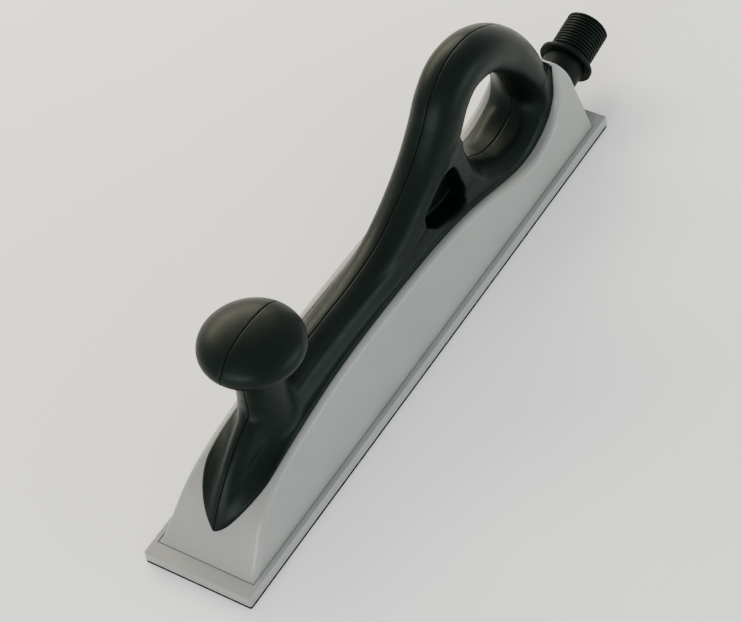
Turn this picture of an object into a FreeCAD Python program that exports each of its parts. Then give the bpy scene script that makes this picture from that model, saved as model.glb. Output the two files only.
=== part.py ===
import FreeCAD, Part
import math
import os

from FreeCAD import Vector

# Long dust-extraction sanding block: a hollow moulded body on a flat sole, a two-piece moulded
# handle with a front knob and a rear loop, and a swivelling hose spigot at the back.
#
# Frame, in millimetres: the origin is the centre of the sanding face, +Z is up, and +X runs
# back towards the hose spigot. The block is symmetrical about the plane y = 0.

# ---- sole and flange ----
SOLE_LENGTH = 400.0
SOLE_WIDTH = 70.0
HOOK_FACE_THICKNESS = 0.6
PAD_THICKNESS = 1.4
FLANGE_BOTTOM = HOOK_FACE_THICKNESS + PAD_THICKNESS
FLANGE_TOP = 8.7
FLANGE_CORNER_RADIUS = 1.3
FLANGE_EDGE_RADIUS = 0.7
PAD_CORNER_RADIUS = 1.2

# ---- body shell ----
WALL = 3.0
WALL_FOOT_HALF_WIDTH = 31.0
WALL_DRAFT = 0.172
WALL_TOP = 90.0
SHOULDER_RADIUS = 3.4
HORN_EDGE_RADIUS = 3.0
RIM_LENGTH = 10.0
GROOVE_WIDTH = 1.0
GROOVE_DEPTH = 0.6
SPIGOT_TILT = 9.5
REAR_FOOT_X = 188.5
FRONT_FOOT_X = -190.0
REAR_SLOPE = math.tan(math.radians(SPIGOT_TILT))
REAR_FLAT_TOP = 43.0
REAR_INSIDE_TOP = 44.5
REAR_ROOF_STEP = 5.0

# Top line of the body on the plane y = 0: (x, z), from the front foot back to the horn.
ARCH = [
    (FRONT_FOOT_X, FLANGE_TOP), (-185, 12.5), (-180, 17.8), (-172, 27.5), (-160, 37.6),
    (-143, 45.0), (-123, 49.2), (-104, 51.8), (-80, 54.2), (-55, 55.1), (-29, 54.7),
    (-2, 53.6), (26, 51.9), (54, 49.1), (79, 44.0), (104, 36.2), (127, 31.2),
    (149, 34.4), (161, 42.6),
]
# The top line runs on up the front of the horn, which rises behind the rear leg of the loop.
HORN_FRONT = [(166.2, 51.0), (168.2, 61.0), (168.8, 72.0), (169.4, 84.0)]
TOP_LINE = ARCH + HORN_FRONT
# Top and back of the horn; its ends lie outside the body, in front of the horn and behind the
# flat rear wall.
HORN_BACK = [
    (150, 74.6), (160, 74.6), (168.8, 73.8), (171.6, 72.0), (175, 68.0), (180, 59.5),
    (183, 51.0), (184.2, 44.0), (187, 35.0), (194, 26.0),
]
# Side view of the rear wall, whose flat part carries the hose outlet.
REAR_FLAT_END = REAR_FOOT_X - (REAR_FLAT_TOP - FLANGE_TOP) * REAR_SLOPE
REAR_WALL = [(REAR_FOOT_X, FLANGE_TOP), (REAR_FLAT_END, REAR_FLAT_TOP), (190, 60)]

# ---- base plate, its seal and its screws ----
PLATE_HALF_LENGTH = 197.0
PLATE_HALF_WIDTH = 32.0
PLATE_THICKNESS = 2.2
PLATE_CLEARANCE = 0.2
SEAL_THICKNESS = 0.8
SEAL_WIDTH = 2.4
SEAL_EDGE_GAP = 0.5
PLATE_TOP = FLANGE_BOTTOM + PLATE_THICKNESS
LEDGE_Z = PLATE_TOP + SEAL_THICKNESS
PLATE_RIB_Y = 8.0
PLATE_RIB_WIDTH = 1.8
PLATE_RIB_HEIGHT = 5.0
PLATE_RIB_HALF_LENGTH = 150.0
PLATE_SCREW_X = (-178.0, -81.0, -27.0, 27.0, 81.0, 178.0)
PLATE_SCREW_Y = 24.5
PLATE_BOSS_RADIUS = 3.5
PLATE_BOSS_HEIGHT = 9.0
PLATE_SCREW_RADIUS = 1.5
PLATE_SCREW_HEAD_RADIUS = 3.0
PLATE_SCREW_LENGTH = 9.5

# ---- dust holes through the sole ----
DUST_HOLE_RADIUS = 5.0
DUST_HOLE_PITCH = 54.0
DUST_HOLE_COLUMNS = 7
DUST_HOLE_Y = 17.0

# ---- handle ----
HANDLE_WALL = 3.0
FOOT_LIP = 2.6
FOOT_TOP = 72.5
# Foot outline in plan, one side: (x, |y|), from the tail tip to the front of the horn.
FOOT_OUTLINE = [
    (-178.5, 0.0), (-173.5, 8.0), (-168, 13.0), (-160, 17.2), (-146, 19.6), (-125, 19.4),
    (-85, 18.6), (-45, 18.5), (3, 18.5), (40, 18.8), (70, 20.3), (100, 20.6), (140, 20.6),
    (171, 19.6),
]
# Grip bar from the saddle over the loop to the rear leg: x, z, half thickness, half width.
GRIP_SECTIONS = [
    (-116, 57, 11.5, 12), (-85, 58, 12, 12.6), (-55, 58, 12, 13), (-25, 58.2, 12, 13.5),
    (5, 61.5, 12.5, 14),
    (30, 71, 14, 14.5), (52, 85.5, 14, 15), (69, 103, 14, 15.3), (80, 117, 14.2, 15.5),
    (93, 124.7, 14.5, 15.8), (108, 124.7, 14.5, 16), (124, 118.5, 14, 16.2),
    (138, 106, 12.5, 16.6), (148, 91, 11, 17.2), (155.5, 76, 9.6, 18), (159, 62, 8.6, 19),
    (160, 44, 9, 19.5),
]
# Crowned floor under the finger hole: x, z, half thickness, half width.
FLOOR_SECTIONS = [
    (62, 50, 11, 17), (80, 48, 12.5, 18), (97, 41.5, 12.5, 19.2), (112, 33, 12, 20.2),
    (126, 29.5, 12.5, 20.4), (141, 31.5, 12.5, 20.4), (156, 43, 12.5, 19.8),
]
# Strut between the pocket and the finger hole: x, z, half thickness, half width.
STRUT_SECTIONS = [(73, 104, 8, 13), (77, 88, 8, 12.5), (82, 72, 8.5, 12.5), (90, 52, 10, 15)]
# Web under the grip bar in side view; its ends are buried in the bar and in the floor.
WEB_OUTLINE = [
    (-40, 52), (-10, 60), (20, 66), (45, 80), (66, 100), (76, 100), (82, 78), (92, 56),
    (100, 44), (100, 34), (60, 40), (0, 45),
]
WEB_HALF_WIDTH = 11.5
# Blind pocket in each side of the web: outline in side view and how near it comes to y = 0.
POCKET_OUTLINE = [
    (66, 81), (57, 86.5), (48, 82), (38, 75.5), (31.5, 72), (31.5, 65), (39, 57),
    (51, 54), (66, 49.5), (71.5, 51.5), (72.5, 56), (69.5, 68),
]
POCKET_FLOOR_Y = 2.5
POCKET_ROUNDING = 0.01
# Tail ridge from the tip to the neck: x, z, half thickness, half width.
TAIL_SECTIONS = [
    (-177, 17, 7, 3), (-170, 29, 9, 6.5), (-159, 39.5, 10.5, 8), (-146, 48, 12.5, 8),
    (-132, 54, 14, 8.5), (-116, 58, 16, 12),
]

# ---- knob and neck, turned about a vertical axis ----
KNOB_X = -116.0
KNOB_RADIUS = 30.0
KNOB_TOP = 128.4
KNOB_RIM = (29.0, 108.9)
# Radius and height of the knob's underside and the neck, from the rim down to the foot.
NECK_PROFILE = [KNOB_RIM, (24.5, 104.4), (18.0, 99.9), (14.8, 94.4), (14.2, 85.0),
                (14.8, 72.0), (16.6, 62.0), (20.0, 52.0), (22.0, 46.0)]
# Radius and height of the knob's dome, from the crown out to the rim.
DOME_PROFILE = [(0.0, KNOB_TOP), (11.0, 127.6), (20.0, 124.8), (26.5, 120.6), (29.6, 116.0),
                (KNOB_RADIUS, 112.4), KNOB_RIM]

# ---- screws that clamp the handle halves together, from the +Y side: (x, z) ----
CLAMP_SCREWS = [(-131, 54), (KNOB_X, 80), (-15, 60), (69, 101), (106, 124.5), (150, 86)]
CLAMP_SCREW_RADIUS = 1.5
CLAMP_CLEARANCE_RADIUS = 1.7
CLAMP_HEAD_RADIUS = 2.9
CLAMP_HEAD_HEIGHT = 2.0
CLAMP_HEAD_Y = 6.5
CLAMP_TIP_Y = -7.5
CLAMP_BOSS_RADIUS = 4.6
CLAMP_RECESS_RADIUS = 3.2

# ---- screws that hold the handle down, from inside the body: (x, |y|) ----
MOUNT_SCREWS = [(-108, 8.0), (-40, 7.5), (84, 7.5), (153, 10.0)]
MOUNT_SCREW_RADIUS = 2.0
MOUNT_HOLE_RADIUS = 2.2
MOUNT_HEAD_RADIUS = 3.8
MOUNT_HEAD_HEIGHT = 2.6
MOUNT_SCREW_REACH = 8.5
MOUNT_BOSS_RADIUS = 6.0
MOUNT_BOSS_DROP = 9.0
# How far the body's sloping top may rise or fall across a hold-down hole.
MOUNT_SLOPE_RISE = 5.0
WASHER_RADIUS = 5.0
WASHER_THICKNESS = 1.0
INSERT_RADIUS = 2.9
INSERT_BASE = 2.5
INSERT_LENGTH = 6.5
INSERT_BOSS_RADIUS = 4.6
INSERT_BOSS_TOP = 12.0

# ---- hose outlet, along an axis square to the body's rear face ----
# Stations are distances along that axis from the rear face.
AXIS_HEIGHT = 23.3
NECK_RADIUS = 13.0
NECK_BORE_RADIUS = 10.5
NECK_THREAD_RADIUS = 12.5
NECK_HOLE_RADIUS = 12.6
NECK_HOLE_START = -10.0
NECK_HOLE_END = 5.0
NECK_SHOULDER_RADIUS = 14.2
NECK_SHOULDER_END = 3.0
NECK_INNER_END = -12.0
NECK_OUTER_END = 28.0
NECK_GASKET_THICKNESS = 1.0
LOCKNUT_FLATS = 30.0
HEXAGON_SIDES = 6
LOCKNUT_START = -8.5
LOCKNUT_END = -3.0
SLEEVE_RADIUS = 10.45
SLEEVE_BORE_RADIUS = 8.5
SLEEVE_START = -16.0
COLLAR_RADIUS = 17.5
COLLAR_START = 26.8
COLLAR_END = 30.3
COLLAR_EDGE = 0.8
RECESS_RADIUS = 13.3
RECESS_END = 28.4
SPIGOT_ROOT_RADIUS = 12.7
SPIGOT_BORE_RADIUS = 10.6
SPIGOT_BORE_START = 31.8
SPIGOT_END = 57.8
SPIGOT_RIM = 0.8
RIB_RADIUS = 13.75
RIB_WIDTH = 1.2
RIB_PITCH = 2.2
RIB_COUNT = 11
O_RING_STATION = 20.0
O_RING_WIDTH = 1.9
O_RING_SQUEEZE = 0.02
O_RING_GROOVE_RADIUS = 9.45
O_RING_GROOVE_WIDTH = 2.2
CLIP_START = -13.8
CLIP_THICKNESS = 1.0
CLIP_RADIUS = 12.0
CLIP_GROOVE_RADIUS = 9.6
CLIP_GAP_WIDTH = 5.0
CLIP_GAP_REACH = 10.0

SECTION_POINTS = 12
HUGE = 300.0
# How far a cut runs past the face it leaves through, or one piece into the next.
MARGIN = 1.0
UP = Vector(0, 0, 1)
SIDEWAYS = Vector(0, 1, 0)


# ---- shape helpers ----

def union(shapes):
    """One solid from several overlapping ones."""
    return shapes[0].multiFuse(shapes[1:]).removeSplitter()


def side_curve(points):
    """Smooth curve through (x, z) points on the plane y = 0."""
    curve = Part.BSplineCurve()
    curve.interpolate([Vector(x, 0, z) for x, z in points])
    return curve.toShape()


def side_lines(points):
    """Straight edges through (x, z) points on the plane y = 0."""
    corners = [Vector(x, 0, z) for x, z in points]
    return [Part.makeLine(a, b) for a, b in zip(corners, corners[1:])]


def side_prism(edges, half_width):
    """Solid of a closed side-view outline, as wide as 2 * half_width about y = 0."""
    face = Part.Face(Part.Wire(Part.__sortEdges__(edges)))
    face.translate(Vector(0, -half_width, 0))
    return face.extrude(Vector(0, 2 * half_width, 0))


def inset_points(points, depth):
    """Moves each point of an open (x, z) line to its right by depth, square to the line."""
    moved = []
    for index, (x, z) in enumerate(points):
        before = points[max(index - 1, 0)]
        after = points[min(index + 1, len(points) - 1)]
        dx = after[0] - before[0]
        dz = after[1] - before[1]
        length = math.hypot(dx, dz)
        moved.append((x + depth * dz / length, z - depth * dx / length))
    return moved


def block(x0, x1, y0, y1, z0, z1):
    """Rectangular solid between two corners."""
    return Part.makeBox(x1 - x0, y1 - y0, z1 - z0, Vector(x0, y0, z0))


def rounded_slab(half_length, half_width, z0, z1, corner_radius):
    """Flat slab about the origin with rounded vertical corners."""
    slab = block(-half_length, half_length, -half_width, half_width, z0, z1)
    uprights = [edge for edge in slab.Edges if edge.BoundBox.ZLength > (z1 - z0) / 2]
    return slab.makeFillet(corner_radius, uprights)


def upright(x, y, z0, z1, radius):
    """Vertical cylinder."""
    return Part.makeCylinder(radius, z1 - z0, Vector(x, y, z0), UP)


def crossways(x, z, y0, y1, radius):
    """Cylinder along Y."""
    return Part.makeCylinder(radius, y1 - y0, Vector(x, y0, z), SIDEWAYS)


def oval_bar(sections, inset):
    """Bar of oval sections square to its centre line, each (x, z, half thickness, half width)."""
    rings = []
    for index, (x, z, thick, wide) in enumerate(sections):
        before = sections[max(index - 1, 0)]
        after = sections[min(index + 1, len(sections) - 1)]
        run = Vector(after[0] - before[0], 0, after[1] - before[1]).normalize()
        across = Vector(-run.z, 0, run.x)
        points = []
        for step in range(SECTION_POINTS):
            turn = 2 * math.pi * step / SECTION_POINTS
            point = Vector(x, 0, z)
            point += SIDEWAYS * ((wide - inset) * math.cos(turn))
            point += across * ((thick - inset) * math.sin(turn))
            points.append(point)
        curve = Part.BSplineCurve()
        curve.interpolate(points, True)
        rings.append(Part.Wire(curve.toShape()))
    return Part.makeLoft(rings, True, False)


# ---- body shell ----

def wall_wedge(inset):
    """Long wedge between the two drafted side walls."""
    foot = WALL_FOOT_HALF_WIDTH - inset
    low = foot + FLANGE_TOP * WALL_DRAFT
    high = foot - (WALL_TOP - FLANGE_TOP) * WALL_DRAFT
    corners = [(-low, 0), (low, 0), (high, WALL_TOP), (-high, WALL_TOP), (-low, 0)]
    wire = Part.makePolygon([Vector(-HUGE, y, z) for y, z in corners])
    return Part.Face(wire).extrude(Vector(2 * HUGE, 0, 0))


def top_block():
    """Everything under the body's top line, with no back to it."""
    top = TOP_LINE[-1][1]
    outline = [TOP_LINE[-1], (HUGE, top), (HUGE, LEDGE_Z), (FRONT_FOOT_X, LEDGE_Z), TOP_LINE[0]]
    return side_prism([side_curve(TOP_LINE)] + side_lines(outline), 2 * SOLE_WIDTH)


def horn_back_block():
    """Everything under and in front of the back of the horn, with no front to it."""
    start = HORN_BACK[0]
    end = HORN_BACK[-1]
    outline = [end, (end[0], LEDGE_Z), (-HUGE, LEDGE_Z), (-HUGE, start[1]), start]
    return side_prism([side_curve(HORN_BACK)] + side_lines(outline), 2 * SOLE_WIDTH)


def rear_wall_block():
    """Everything in front of the rear wall."""
    top = REAR_WALL[-1][0]
    outline = [(REAR_FOOT_X, LEDGE_Z)] + REAR_WALL + [(top, WALL_TOP), (-HUGE, WALL_TOP),
                                                      (-HUGE, LEDGE_Z), (REAR_FOOT_X, LEDGE_Z)]
    return side_prism(side_lines(outline), 2 * SOLE_WIDTH)


def round_rims(prism, lowest, radius):
    """Rounds the edges above a height where the drafted side walls meet the top."""
    rims = []
    for edge in prism.Edges:
        box = edge.BoundBox
        if box.ZMax > lowest and box.XLength > RIM_LENGTH and box.XMax < HUGE - MARGIN:
            rims.append(edge)
    return prism.makeFillet(radius, rims)


def body_outside():
    """Outer form of the body: arch with rounded shoulders, horn and flange."""
    front = round_rims(top_block().common(wall_wedge(0)), TOP_LINE[-1][1] - MARGIN, SHOULDER_RADIUS)
    rear = horn_back_block().common(wall_wedge(0))
    rear = round_rims(rear, HORN_BACK[0][1] - MARGIN, HORN_EDGE_RADIUS)
    arch = front.common(rear).common(rear_wall_block())
    half_length = SOLE_LENGTH / 2
    half_width = SOLE_WIDTH / 2
    flange = rounded_slab(half_length, half_width, FLANGE_BOTTOM, FLANGE_TOP,
                          FLANGE_CORNER_RADIUS)
    rims = [e for e in flange.Edges if e.BoundBox.ZMin > FLANGE_TOP - 0.01]
    flange = flange.makeFillet(FLANGE_EDGE_RADIUS, rims)
    foot_half = WALL_FOOT_HALF_WIDTH
    groove_z = FLANGE_TOP - GROOVE_DEPTH
    groove = block(FRONT_FOOT_X - GROOVE_WIDTH, REAR_FOOT_X + GROOVE_WIDTH,
                   -foot_half - GROOVE_WIDTH, foot_half + GROOVE_WIDTH, groove_z, FLANGE_TOP)
    groove = groove.cut(block(FRONT_FOOT_X, REAR_FOOT_X, -foot_half, foot_half, 0, HUGE))
    return union([arch, flange]).cut(groove)


def plenum():
    """Hollow inside the body, open downwards."""
    roof = inset_points(ARCH, WALL)[1:]
    rear_top = REAR_FOOT_X - (REAR_INSIDE_TOP - FLANGE_TOP) * REAR_SLOPE
    rear_low = REAR_FOOT_X + FLANGE_TOP * REAR_SLOPE
    thick = WALL / math.cos(math.radians(SPIGOT_TILT))
    closing = [roof[-1], (roof[-1][0] + REAR_ROOF_STEP, REAR_INSIDE_TOP),
               (rear_top - thick, REAR_INSIDE_TOP), (rear_low - thick, 0), (roof[0][0], 0), roof[0]]
    hollow = side_prism([side_curve(roof)] + side_lines(closing), 2 * SOLE_WIDTH)
    return hollow.common(wall_wedge(WALL))


def arch_height(x):
    """Height of the body's top line at x."""
    column = Part.makeLine(Vector(x, 0, 0), Vector(x, 0, HUGE))
    return column.common(top_block()).BoundBox.ZMax


def mount_points():
    """Each hold-down screw: x, y and the height of the body's top there."""
    return [(x, y * side, arch_height(x)) for x, y in MOUNT_SCREWS for side in (-1, 1)]


def plate_screw_points():
    return [(x, y) for x in PLATE_SCREW_X for y in (-PLATE_SCREW_Y, PLATE_SCREW_Y)]


def body_shell(outside, mounts):
    """Hollow body with screw bosses, a rebate for the base plate and the outlet hole."""
    shell = outside.cut(plenum())
    bosses = [upright(x, y, PLATE_TOP, PLATE_TOP + PLATE_BOSS_HEIGHT, PLATE_BOSS_RADIUS)
              for x, y in plate_screw_points()]
    bosses += [upright(x, y, top - MOUNT_BOSS_DROP, top - MARGIN, MOUNT_BOSS_RADIUS)
               for x, y, top in mounts]
    rebate = rounded_slab(PLATE_HALF_LENGTH, PLATE_HALF_WIDTH, 0, LEDGE_Z, PAD_CORNER_RADIUS)
    shell = shell.cut(rebate)
    shell = union([shell] + [boss.common(outside) for boss in bosses])
    holes = [upright(x, y, 0, PLATE_TOP + PLATE_BOSS_HEIGHT - MARGIN, PLATE_SCREW_RADIUS)
             for x, y in plate_screw_points()]
    holes += [upright(x, y, top - MOUNT_BOSS_DROP - MARGIN, top + MOUNT_SLOPE_RISE,
                      MOUNT_HOLE_RADIUS) for x, y, top in mounts]
    holes.append(outlet_rod(NECK_HOLE_RADIUS, NECK_HOLE_START, NECK_HOLE_END))
    return shell.cut(Part.makeCompound(holes))


# ---- sole ----

def dust_holes():
    """Vertical rods where air is drawn up through the sole."""
    rods = []
    for column in range(DUST_HOLE_COLUMNS):
        x = (column - (DUST_HOLE_COLUMNS - 1) / 2) * DUST_HOLE_PITCH
        for y in (-DUST_HOLE_Y, DUST_HOLE_Y):
            rods.append(upright(x, y, -MARGIN, FLANGE_TOP, DUST_HOLE_RADIUS))
    return Part.makeCompound(rods)


def hook_face():
    slab = rounded_slab(SOLE_LENGTH / 2, SOLE_WIDTH / 2, 0, HOOK_FACE_THICKNESS,
                        PAD_CORNER_RADIUS)
    return slab.cut(dust_holes())


def pad():
    slab = rounded_slab(SOLE_LENGTH / 2, SOLE_WIDTH / 2, HOOK_FACE_THICKNESS, FLANGE_BOTTOM,
                        PAD_CORNER_RADIUS)
    return slab.cut(dust_holes())


def plate_screw(x, y):
    """Countersunk screw, head down."""
    head_height = PLATE_SCREW_HEAD_RADIUS - PLATE_SCREW_RADIUS
    head = Part.makeCone(PLATE_SCREW_HEAD_RADIUS, PLATE_SCREW_RADIUS, head_height,
                         Vector(x, y, FLANGE_BOTTOM), UP)
    shank = upright(x, y, FLANGE_BOTTOM, FLANGE_BOTTOM + PLATE_SCREW_LENGTH, PLATE_SCREW_RADIUS)
    return head.fuse(shank).removeSplitter()


def base_plate():
    """Plate that closes the plenum, with two stiffening ribs."""
    plate = rounded_slab(PLATE_HALF_LENGTH - PLATE_CLEARANCE, PLATE_HALF_WIDTH - PLATE_CLEARANCE,
                         FLANGE_BOTTOM, PLATE_TOP, PAD_CORNER_RADIUS)
    ribs = [block(-PLATE_RIB_HALF_LENGTH, PLATE_RIB_HALF_LENGTH, y - PLATE_RIB_WIDTH / 2,
                  y + PLATE_RIB_WIDTH / 2, FLANGE_BOTTOM, PLATE_TOP + PLATE_RIB_HEIGHT)
            for y in (-PLATE_RIB_Y, PLATE_RIB_Y)]
    plate = union([plate] + ribs).cut(dust_holes())
    return plate.cut(Part.makeCompound([plate_screw(x, y) for x, y in plate_screw_points()]))


def plate_seal():
    """Rubber frame between the base plate and the ledge of the body."""
    length = PLATE_HALF_LENGTH - SEAL_EDGE_GAP
    width = PLATE_HALF_WIDTH - SEAL_EDGE_GAP
    outer = block(-length, length, -width, width, PLATE_TOP, LEDGE_Z)
    inner_length = length - SEAL_WIDTH
    inner_width = width - SEAL_WIDTH
    return outer.cut(block(-inner_length, inner_length, -inner_width, inner_width, 0, HUGE))


# ---- handle ----

def turned_neck(inset):
    """Knob and neck as one turned form; inset leaves a wall when it is used as the hollow."""
    neck = [(r - inset, z) for r, z in NECK_PROFILE]
    dome = [(max(r - inset, 0), z - inset) for r, z in DOME_PROFILE[:-1]]
    dome.append(neck[0])
    low = neck[-1]
    edges = [side_curve(dome), side_curve(neck)]
    edges += side_lines([low, (0, low[1]), dome[0]])
    face = Part.Face(Part.Wire(edges))
    turned = face.revolve(Vector(0, 0, 0), UP, 360)
    turned.translate(Vector(KNOB_X, 0, 0))
    return turned


def foot():
    """Foot of even thickness that follows the body's top line and the front of the horn."""
    one_side = [Vector(x, y, 0) for x, y in FOOT_OUTLINE]
    other_side = [Vector(x, -y, 0) for x, y in FOOT_OUTLINE]
    curves = []
    for points in (one_side, other_side):
        curve = Part.BSplineCurve()
        curve.interpolate(points)
        curves.append(curve.toShape())
    curves.append(Part.makeLine(one_side[-1], other_side[-1]))
    outline = Part.Face(Part.Wire(Part.__sortEdges__(curves)))
    raised = inset_points(TOP_LINE, -FOOT_LIP)
    band = side_prism([side_curve(TOP_LINE), side_curve(raised)]
                      + side_lines([TOP_LINE[-1], raised[-1]])
                      + side_lines([raised[0], TOP_LINE[0]]), HUGE)
    return outline.extrude(UP * FOOT_TOP).common(band)


def pocket(side, grown, floor_y):
    """Blind pocket in one side of the web, from floor_y outwards, with its outline grown."""
    points = POCKET_OUTLINE + POCKET_OUTLINE[:1]
    outline = Part.Wire(side_lines(points)).makeOffset2D(grown)
    prism = side_prism(outline.Edges, HUGE)
    near = floor_y if side > 0 else -HUGE
    far = HUGE if side > 0 else -floor_y
    return prism.common(block(-HUGE, HUGE, near, far, -HUGE, HUGE))


def handle_outside(body):
    """Outer form of the whole handle, resting on the body."""
    web = side_prism(side_lines(WEB_OUTLINE + WEB_OUTLINE[:1]), WEB_HALF_WIDTH)
    pieces = [oval_bar(GRIP_SECTIONS, 0), oval_bar(FLOOR_SECTIONS, 0),
              oval_bar(STRUT_SECTIONS, 0), oval_bar(TAIL_SECTIONS, 0),
              turned_neck(0), web, foot()]
    whole = pieces[0]
    for piece in pieces[1:]:
        whole = whole.fuse(piece)
    start = TOP_LINE[0]
    end = TOP_LINE[-1]
    below = side_prism([side_curve(TOP_LINE)] + side_lines([end, (HUGE, end[1]), (HUGE, -HUGE),
                       (-HUGE, -HUGE), (-HUGE, start[1]), start]), HUGE)
    return whole.cut(below).cut(body)


def handle_hollow():
    """Space inside the handle, between its walls."""
    return [oval_bar(GRIP_SECTIONS, HANDLE_WALL), turned_neck(HANDLE_WALL),
            oval_bar(TAIL_SECTIONS[2:], HANDLE_WALL)]


def handle_half(whole, mounts, side):
    """One half of the handle: side is -1 for the left half and 1 for the right half."""
    near = 0 if side > 0 else -HUGE
    half_space = block(-HUGE, HUGE, near, near + HUGE, -HUGE, HUGE)
    half = whole.common(half_space)
    shell = half
    for hollow in handle_hollow():
        shell = shell.cut(hollow)
    bosses = [crossways(x, z, -HUGE, HUGE, CLAMP_BOSS_RADIUS) for x, z in CLAMP_SCREWS]
    bosses += [upright(x, y, top - MOUNT_SLOPE_RISE, top + INSERT_BOSS_TOP, INSERT_BOSS_RADIUS)
               for x, y, top in mounts if y * side > 0]
    bosses.append(pocket(side, HANDLE_WALL - POCKET_ROUNDING, 0))
    for boss in bosses:
        shell = shell.fuse(boss.common(half))
    insert_end = INSERT_BASE + INSERT_LENGTH + MARGIN
    holes = [upright(x, y, top - MOUNT_SLOPE_RISE, top + insert_end, INSERT_RADIUS)
             for x, y, top in mounts if y * side > 0]
    for x, z in CLAMP_SCREWS:
        if side > 0:
            holes.append(crossways(x, z, -MARGIN, CLAMP_HEAD_Y + MARGIN, CLAMP_CLEARANCE_RADIUS))
            holes.append(crossways(x, z, CLAMP_HEAD_Y, HUGE, CLAMP_RECESS_RADIUS))
        else:
            holes.append(crossways(x, z, CLAMP_TIP_Y, MARGIN, CLAMP_SCREW_RADIUS))
    holes.append(pocket(side, -POCKET_ROUNDING, POCKET_FLOOR_Y))
    for hole in holes:
        shell = shell.cut(hole)
    return shell


def clamp_screw(x, z):
    """Pan-head screw along Y, its head on the +Y side."""
    head = crossways(x, z, CLAMP_HEAD_Y, CLAMP_HEAD_Y + CLAMP_HEAD_HEIGHT, CLAMP_HEAD_RADIUS)
    shank = crossways(x, z, CLAMP_TIP_Y, CLAMP_HEAD_Y, CLAMP_SCREW_RADIUS)
    return head.fuse(shank)


def mount_screw(x, y, top):
    """Pan-head screw that comes up through the body into a threaded insert."""
    seat = top - MOUNT_BOSS_DROP - WASHER_THICKNESS
    head = upright(x, y, seat - MOUNT_HEAD_HEIGHT, seat, MOUNT_HEAD_RADIUS)
    shank = upright(x, y, seat, top + MOUNT_SCREW_REACH, MOUNT_SCREW_RADIUS)
    return head.fuse(shank)


def mount_washer(x, y, top):
    seat = top - MOUNT_BOSS_DROP
    ring = upright(x, y, seat - WASHER_THICKNESS, seat, WASHER_RADIUS)
    return ring.cut(upright(x, y, 0, HUGE, MOUNT_HOLE_RADIUS))


def mount_insert(x, y, top):
    """Brass insert pressed into the handle's foot."""
    base = top + INSERT_BASE
    ring = upright(x, y, base, base + INSERT_LENGTH, INSERT_RADIUS)
    return ring.cut(upright(x, y, 0, HUGE, MOUNT_SCREW_RADIUS))


# ---- hose outlet ----

def outlet_direction():
    tilt = math.radians(SPIGOT_TILT)
    return Vector(math.cos(tilt), 0, math.sin(tilt))


def outlet_point(station):
    """Point on the outlet axis, a distance out from the rear face."""
    rear_x = REAR_FOOT_X - (AXIS_HEIGHT - FLANGE_TOP) * REAR_SLOPE
    return Vector(rear_x, 0, AXIS_HEIGHT) + outlet_direction() * station


def outlet_rod(radius, start, end):
    return Part.makeCylinder(radius, end - start, outlet_point(start), outlet_direction())


def outlet_ring(outer, inner, start, end):
    return outlet_rod(outer, start, end).cut(outlet_rod(inner, start - MARGIN, end + MARGIN))


def outlet_neck():
    """Tube fixed through the rear wall, with a shoulder outside and a thread inside."""
    parts = [outlet_rod(NECK_RADIUS, NECK_GASKET_THICKNESS, NECK_OUTER_END),
             outlet_rod(NECK_SHOULDER_RADIUS, NECK_GASKET_THICKNESS, NECK_SHOULDER_END),
             outlet_rod(NECK_THREAD_RADIUS, NECK_INNER_END, NECK_SHOULDER_END)]
    bore = outlet_rod(NECK_BORE_RADIUS, NECK_INNER_END - MARGIN, NECK_OUTER_END + MARGIN)
    return union(parts).cut(bore)


def neck_gasket():
    return outlet_ring(NECK_SHOULDER_RADIUS, NECK_THREAD_RADIUS, 0, NECK_GASKET_THICKNESS)


def neck_locknut():
    """Hexagonal nut on the neck's thread, against the inside of the rear wall."""
    corner = LOCKNUT_FLATS / math.sqrt(3)
    turns = [2 * math.pi * k / HEXAGON_SIDES for k in range(HEXAGON_SIDES + 1)]
    corners = [Vector(corner * math.cos(turn), corner * math.sin(turn), 0) for turn in turns]
    prism = Part.Face(Part.makePolygon(corners)).extrude(UP * (LOCKNUT_END - LOCKNUT_START))
    tilt = FreeCAD.Rotation(UP, outlet_direction())
    prism.Placement = FreeCAD.Placement(outlet_point(LOCKNUT_START), tilt)
    thread = outlet_rod(NECK_THREAD_RADIUS, LOCKNUT_START - MARGIN, LOCKNUT_END + MARGIN)
    return prism.cut(thread)


def swivel_spigot():
    """Sleeve inside the neck, collar, and ribbed tube for the hose cuff."""
    collar = outlet_rod(COLLAR_RADIUS, COLLAR_START, COLLAR_END)
    rims = [edge for edge in collar.Edges if edge.isClosed()]
    collar = collar.makeChamfer(COLLAR_EDGE, rims)
    collar = collar.cut(outlet_ring(RECESS_RADIUS, SLEEVE_BORE_RADIUS, COLLAR_START, RECESS_END))
    parts = [outlet_rod(SLEEVE_RADIUS, SLEEVE_START, COLLAR_END), collar,
             outlet_rod(SPIGOT_ROOT_RADIUS, COLLAR_END - MARGIN, SPIGOT_END)]
    for rib in range(RIB_COUNT):
        end = SPIGOT_END - SPIGOT_RIM - rib * RIB_PITCH
        parts.append(outlet_rod(RIB_RADIUS, end - RIB_WIDTH, end))
    solid = union(parts)
    half_groove = O_RING_GROOVE_WIDTH / 2
    cuts = [outlet_rod(SLEEVE_BORE_RADIUS, SLEEVE_START - MARGIN, SPIGOT_END),
            outlet_rod(SPIGOT_BORE_RADIUS, SPIGOT_BORE_START, SPIGOT_END + MARGIN),
            outlet_ring(RECESS_RADIUS, O_RING_GROOVE_RADIUS, O_RING_STATION - half_groove,
                        O_RING_STATION + half_groove),
            outlet_ring(RECESS_RADIUS, CLIP_GROOVE_RADIUS, CLIP_START,
                        CLIP_START + CLIP_THICKNESS)]
    for tool in cuts:
        solid = solid.cut(tool)
    return solid


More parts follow.
